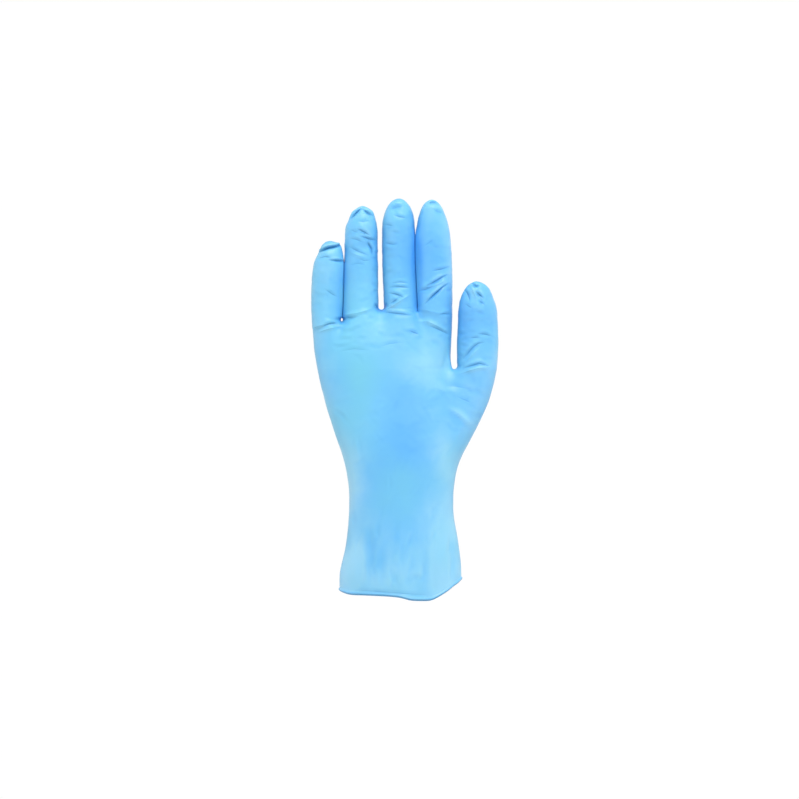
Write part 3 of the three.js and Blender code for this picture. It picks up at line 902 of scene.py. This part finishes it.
def hem_places(polygons):
    """The places round the hem in order, from the first corner of its ring."""
    there = {tuple(edge) for edge in edges_of(polygons).tolist()}
    following = {a: b for a, b in there if (b, a) not in there}
    ring = [HEM_RING[0]]
    while following[ring[-1]] != ring[0]:
        ring.append(following[ring[-1]])
    return ring


# The bead's middle lies this far inwards from the skin and this far below its last row.
BEAD_IN = WALL / 2
BEAD_DROP = math.sqrt(BEAD_RADIUS**2 - BEAD_IN**2)


def bead_turns():
    """The turns of the bead's rings, from the skin round its outside to the inside of the wall."""
    start = -math.atan2(BEAD_DROP, BEAD_IN)
    return start + (math.pi - 2 * start) * np.arange(1, BEAD_SIDES + 1) / (BEAD_SIDES + 1)


def bead_rings(points, normals, hem):
    """The rolled bead of the hem, ring by ring, and the way outwards at each of its places."""
    out = normals[hem] * [1, 1, 0]
    out /= np.linalg.norm(out, axis=1, keepdims=True)
    centre = points[hem] - out * BEAD_IN - [0, 0, BEAD_DROP]
    up = np.array([0, 0, 1])
    rings = [centre + BEAD_RADIUS * (math.cos(turn) * out - math.sin(turn) * up) for turn in bead_turns()]
    return rings, out


def bead_shades(count):
    """How much painted shade darkens the bead at each of its points: most at the bottom, ring by ring."""
    return np.repeat(BEAD_SHADE * smooth_step(0, BEAD_SHADE_FULL, np.sin(bead_turns())), count)


def deepest_near(points, shift):
    """How far the skin is pressed in, at most, round each corner of the inside."""
    tree = kdtree.KDTree(len(points))
    for i, point in enumerate(points.tolist()):
        tree.insert(point, i)
    tree.balance()
    deepest = np.zeros(len(BASE))
    for i, point in enumerate(points[: len(BASE)].tolist()):
        near = [found[1] for found in tree.find_range(point, FOLLOW_REACH)]
        deepest[i] = max(0, -shift[near].min())
    return deepest


def film_faces(polygons, hem, skin_size):
    """The faces of the skin, the bead, the strip between the bead and the inside, and the inside."""
    film = polygons.tolist()
    count = len(hem)
    previous = hem
    for k in range(BEAD_SIDES):
        ring = range(skin_size + k * count, skin_size + (k + 1) * count)
        for i in range(count):
            j = (i + 1) % count
            film.append((previous[j], previous[i], ring[i], ring[j]))
        previous = ring
    first_inside = skin_size + BEAD_SIDES * count
    inner = [first_inside + corner for corner in HEM_RING]
    for i, corner in enumerate(inner):
        after = inner[(i + 1) % len(inner)]
        f = [previous[(FINER * i + k) % count] for k in range(FINER + 1)]
        film += [(f[1], f[0], corner), (f[2], f[1], corner), (f[2], corner, after)]
        film += [(f[3], f[2], after), (f[4], f[3], after)]
    film += [tuple(first_inside + corner for corner in reversed(face)) for face in faces]
    return film


def store(mesh, name, on_skin, on_bead=0, on_inside=0):
    """Stores a value at each point of the film: first the skin's, then the bead's, then the inside's."""
    values = np.full(len(mesh.vertices), on_inside, np.float32)
    values[: len(on_skin)] = on_skin
    values[len(on_skin) : -len(BASE)] = on_bead
    layer = mesh.attributes.new(name, "FLOAT", "POINT")
    layer.data.foreach_set("value", values)


def build_glove():
    """The whole film as one closed mesh: skin, bead and the plain inside of the wall."""
    points, polygons = subdivided(BASE, SUBDIVISIONS)
    even = even_out(points, polygons)
    points = press_fingers(even, normals_of(even, polygons))
    normals = normals_of(points, polygons)
    hem = hem_places(polygons)

    folds, crease_far, crease, shade = press_folds(points, normals, FOLDS)
    fine, _, _, fine_shade = press_folds(points, normals, fine_wrinkles())
    uneven = smooth_step(*HEM_PLAIN, points[:, 2] - points[hem, 2].mean())
    uneven *= 1 - smooth_step(*PRESSED_FLAT, np.linalg.norm(points - even, axis=1))
    shift = folds + press_tucks(points) + (fine + ripples(points)) * uneven
    skin = points + normals * shift[:, None]

    rings, out = bead_rings(skin, normals, hem)
    depth = WALL + deepest_near(points, shift)
    inside = points[: len(BASE)] - depth[:, None] * normals[: len(BASE)]
    inside[HEM_RING] = skin[HEM_RING] - WALL * out[::FINER]
    everything = np.concatenate([skin, *rings, inside])
    mesh = mesh_of("glove_film", everything * MM, film_faces(polygons, hem, len(skin)))

    # Painted shade along the folds and wrinkles, and painted light on their lips.
    crease_shade = FOLD_SHADE * np.clip(shade + fine_shade, -1, 1)
    store(mesh, "crease_far", crease_far, on_inside=FAR_OFF)
    # The folds' dark lines, painted shade and bump, and the painted shade under the bead.
    store(mesh, "crease", crease, on_bead=bead_shades(len(hem)))
    # The tone: painted shade and painted light from the patches and along the folds.
    store(mesh, "tone", patches_at(points, normals, SHADE_AND_LIGHT_PATCHES) + crease_shade)
    store(mesh, "tint", patches_at(points, normals, TINTS))
    mesh.shade_smooth()
    mesh.validate()
    return link("glove_film", mesh)


def srgb(red, green, blue):
    """A colour of a shader from its values on a screen, from 0 to 255."""
    shares = (v / 255 for v in (red, green, blue))
    return tuple(v / 12.92 if v < 0.0431 else ((v + 0.055) / 1.055) ** 2.4 for v in shares) + (1,)


class NodeTree:
    """The nodes of a material or a world, with short ways to add to them."""

    def __init__(self, owner):
        owner.use_nodes = True
        self.nodes = owner.node_tree.nodes
        self.links = owner.node_tree.links

    def feed(self, source, socket):
        """Joins an output to an input, or sets the input to a value."""
        if isinstance(source, bpy.types.NodeSocket):
            self.links.new(source, socket)
        else:
            socket.default_value = source

    def add(self, kind, **inputs):
        made = self.nodes.new("ShaderNode" + kind)
        for name, source in inputs.items():
            self.feed(source, made.inputs[name.replace("_", " ")])
        return made

    def calculate(self, operation, a, b):
        made = self.nodes.new("ShaderNodeMath")
        made.operation = operation
        self.feed(a, made.inputs[0])
        self.feed(b, made.inputs[1])
        return made.outputs[0]

    def stored(self, name):
        made = self.nodes.new("ShaderNodeAttribute")
        made.attribute_name = name
        return made.outputs["Fac"]

    def noise(self, place, scale, detail, roughness):
        made = self.add("TexNoise", Vector=place, Scale=scale, Detail=detail, Roughness=roughness)
        return made.outputs["Fac"]

    def spread(self, value, first, last):
        """Brings a value from one range to another."""
        limits = dict(From_Min=first[0], From_Max=first[1], To_Min=last[0], To_Max=last[1])
        return self.add("MapRange", Value=value, **limits)

    def capped(self, value, most):
        return self.add("Clamp", Value=value, Max=most).outputs[0]

    def ramp(self, value, stops):
        """A colour from a list of places with their colours."""
        made = self.add("ValToRGB", Fac=value)
        elements = made.color_ramp.elements
        elements[0].position, elements[1].position = stops[0][0], stops[-1][0]
        for at, _ in stops[1:-1]:
            elements.new(at)
        for element, (_, colour) in zip(elements, stops):
            element.color = colour
        return made.outputs["Color"]

    def tinted(self, colour, other, share):
        """A colour with a share of another one mixed into it."""
        made = self.nodes.new("ShaderNodeMix")
        made.data_type = "RGBA"
        self.feed(colour, made.inputs["A"])
        self.feed(other, made.inputs["B"])
        self.feed(share, made.inputs["Factor"])
        return made.outputs["Result"]


# The film's colours from its lightest tone (0) to its deepest, the tone holding painted shade and painted
# light, its greener colour, and the painted shade of the line in a fold.
BLUES = [(0, (149, 210, 241)), (0.4, (108, 187, 243)), (1, (62, 156, 246)), (1.6, (38, 138, 228))]
GREENER = (116, 198, 228)
CREASE_SHADE_COLOUR = (48, 132, 190)

# Noise in the film, as scale for each metre, detail and roughness: a mottle, a slow drift and a fine grain.
MOTTLE = (55.0, 3.0, 0.55)
DRIFT = (28.0, 1.5, 0.5)
GRAIN = (2600.0, 2.0, 0.6)

# How much the mottle deepens the tone, and how much greener the drift makes it over a part of its range.
MOTTLE_TONE = 0.5
DRIFT_GREEN = ((0.42, 0.72), (0, 0.5))

# The line in a fold, painted shade and a bump: its half width in millimetres, how strong its shade is, at
# most how strong, and how deep.
CREASE_WIDTH = 0.45
CREASE_STRENGTH = 0.65
CREASE_MOST = 0.8
CREASE_DEPTH = 0.5
GRAIN_DEPTH = 0.03

# The film's roughness over the middle of the mottle's range.
ROUGHNESS = ((0.3, 0.7), (0.42, 0.54))

# The film's gloss, its thin clear coat, and the light that passes through it.
SHADER = {
    "Specular IOR Level": 0.5,
    "Coat Weight": 1.0,
    "Coat IOR": 1.02,
    "Coat Roughness": 0.3,
    "Coat Tint": (0.955, 0.955, 0.95, 1),
    "Subsurface Weight": 0.25,
    "Subsurface Radius": (0.5, 0.8, 1.0),
    "Subsurface Scale": 0.0012,
}


def film_colour(tree, mottle, drift, line):
    """The film's blue by its tone, which holds painted shade and painted light, greener in patches, and with
    painted shade along the lines of its folds.
    """
    tone = tree.calculate("ADD", tree.stored("tone"), tree.calculate("MULTIPLY", mottle, MOTTLE_TONE))
    deepest = BLUES[-1][0]
    stops = [(at / deepest, srgb(*colour)) for at, colour in BLUES]
    blue = tree.ramp(tree.calculate("DIVIDE", tone, deepest), stops)
    drifting = tree.spread(drift, *DRIFT_GREEN).outputs[0]
    greener = tree.capped(tree.calculate("ADD", drifting, tree.stored("tint")), 1.0)
    hue = tree.tinted(blue, srgb(*GREENER), greener)
    # Painted shade along the dark line of each fold.
    dark = tree.capped(tree.calculate("MULTIPLY", line, CREASE_STRENGTH), CREASE_MOST)
    return tree.tinted(hue, srgb(*CREASE_SHADE_COLOUR), dark)


def crease_shade_line(tree):
    """The dark line along each fold, painted shade and a bump, from its strength and the distance to it."""
    across = tree.calculate("DIVIDE", tree.stored("crease_far"), CREASE_WIDTH)
    squared = tree.calculate("MULTIPLY", across, across)
    fading = tree.calculate("POWER", math.e, tree.calculate("MULTIPLY", squared, -1.0))
    return tree.calculate("MULTIPLY", fading, tree.stored("crease"))


def nitrile():
    """Light blue film, deeper in its painted shade and lighter in its painted light, with painted shade
    along its folds, a soft mottle and a fine grain.
    """
    material = bpy.data.materials.new("nitrile_film")
    tree = NodeTree(material)
    shader = tree.nodes["Principled BSDF"]
    place = tree.add("TexCoord").outputs["Object"]
    mottle = tree.noise(place, *MOTTLE)
    drift = tree.noise(place, *DRIFT)
    grain = tree.noise(place, *GRAIN)
    line = crease_shade_line(tree)

    tree.feed(film_colour(tree, mottle, drift, line), shader.inputs["Base Color"])
    tree.feed(tree.spread(mottle, *ROUGHNESS).outputs[0], shader.inputs["Roughness"])
    raised = tree.calculate("MULTIPLY", grain, GRAIN_DEPTH)
    height = tree.calculate("SUBTRACT", raised, tree.calculate("MULTIPLY", line, CREASE_DEPTH))
    bump = tree.add("Bump", Strength=1.0, Distance=MM, Height=height)
    tree.feed(bump.outputs["Normal"], shader.inputs["Normal"])
    for name, value in SHADER.items():
        shader.inputs[name].default_value = value
    return material


# The tent's light from the front (0) over the sides (0.5) to behind (1), as shares of its strength.
TENT = [(0.0, 0.3), (0.3, 0.66), (0.5, 1.0), (0.93, 1.0), (0.975, 0.7), (1.0, 0.7)]
TENT_STRENGTH = 1.44

# The share of the tent's light that is left straight above, and the heights between which it falls to that.
TENT_TOP = 0.4
TENT_FALL = (0.2, 0.9)

# The soft light in front and above: its size in metres, its power in watts, its place and what it points at.
KEY_SIZE = 0.3
KEY_POWER = 15.5
KEY_PLACE = (0.15, -0.85, 1.1)
KEY_TARGET = (0, 0, 0.05)

# The floor, in metres.
FLOOR_SIZE = 2.4
FLOOR_HEIGHT = -0.45
FLOOR_WHITE = 0.95
FLOOR_ROUGHNESS = 0.9

# The camera's place in metres, and its lens and sensor in millimetres.
CAMERA_PLACE = (-0.00107, -3.18, 0.057)
CAMERA_LENS = 240
CAMERA_SENSOR = 36


def add_tent():
    """White light from all round the glove, with less of it from the front and from above."""
    world = bpy.data.worlds.new("studio")
    bpy.context.scene.world = world
    tree = NodeTree(world)
    way = tree.add("SeparateXYZ", Vector=tree.add("TexCoord").outputs["Generated"])
    from_front = tree.spread(way.outputs["Y"], (-1, 1), (0, 1))
    stops = [(at, (strength, strength, strength, 1)) for at, strength in TENT]
    above = tree.spread(way.outputs["Z"], TENT_FALL, (TENT_STRENGTH, TENT_STRENGTH * TENT_TOP))
    above.interpolation_type = "SMOOTHSTEP"
    background = tree.nodes["Background"]
    tree.feed(tree.ramp(from_front.outputs[0], stops), background.inputs["Color"])
    tree.feed(above.outputs[0], background.inputs["Strength"])


def add_key_light():
    data = bpy.data.lights.new("key", "AREA")
    data.shape = "SQUARE"
    data.size = KEY_SIZE
    data.energy = KEY_POWER
    obj = link("key", data)
    obj.location = KEY_PLACE
    obj.rotation_euler = (Vector(KEY_TARGET) - Vector(KEY_PLACE)).to_track_quat("-Z", "Y").to_euler()


def add_floor():
    half, height = FLOOR_SIZE / 2, FLOOR_HEIGHT
    corners_around = [(-half, -half), (half, -half), (half, half), (-half, half)]
    places = np.array([(x, y, height) for x, y in corners_around])
    floor = link("floor", mesh_of("floor", places, [(0, 1, 2, 3)]))
    pale = bpy.data.materials.new("floor_white")
    shader = NodeTree(pale).nodes["Principled BSDF"]
    shader.inputs["Base Color"].default_value = (FLOOR_WHITE, FLOOR_WHITE, FLOOR_WHITE, 1)
    shader.inputs["Roughness"].default_value = FLOOR_ROUGHNESS
    floor.data.materials.append(pale)


def add_camera():
    data = bpy.data.cameras.new("camera")
    data.lens = CAMERA_LENS
    data.sensor_width = CAMERA_SENSOR
    obj = link("camera", data)
    obj.location = CAMERA_PLACE
    obj.rotation_euler = (math.pi / 2, 0, 0)
    bpy.context.scene.camera = obj


glove = build_glove()
glove.data.materials.append(nitrile())
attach(glove, "root")
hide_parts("glove")
add_tent()
add_key_light()
add_floor()
add_camera()
bpy.context.scene.view_settings.view_transform = "Standard"
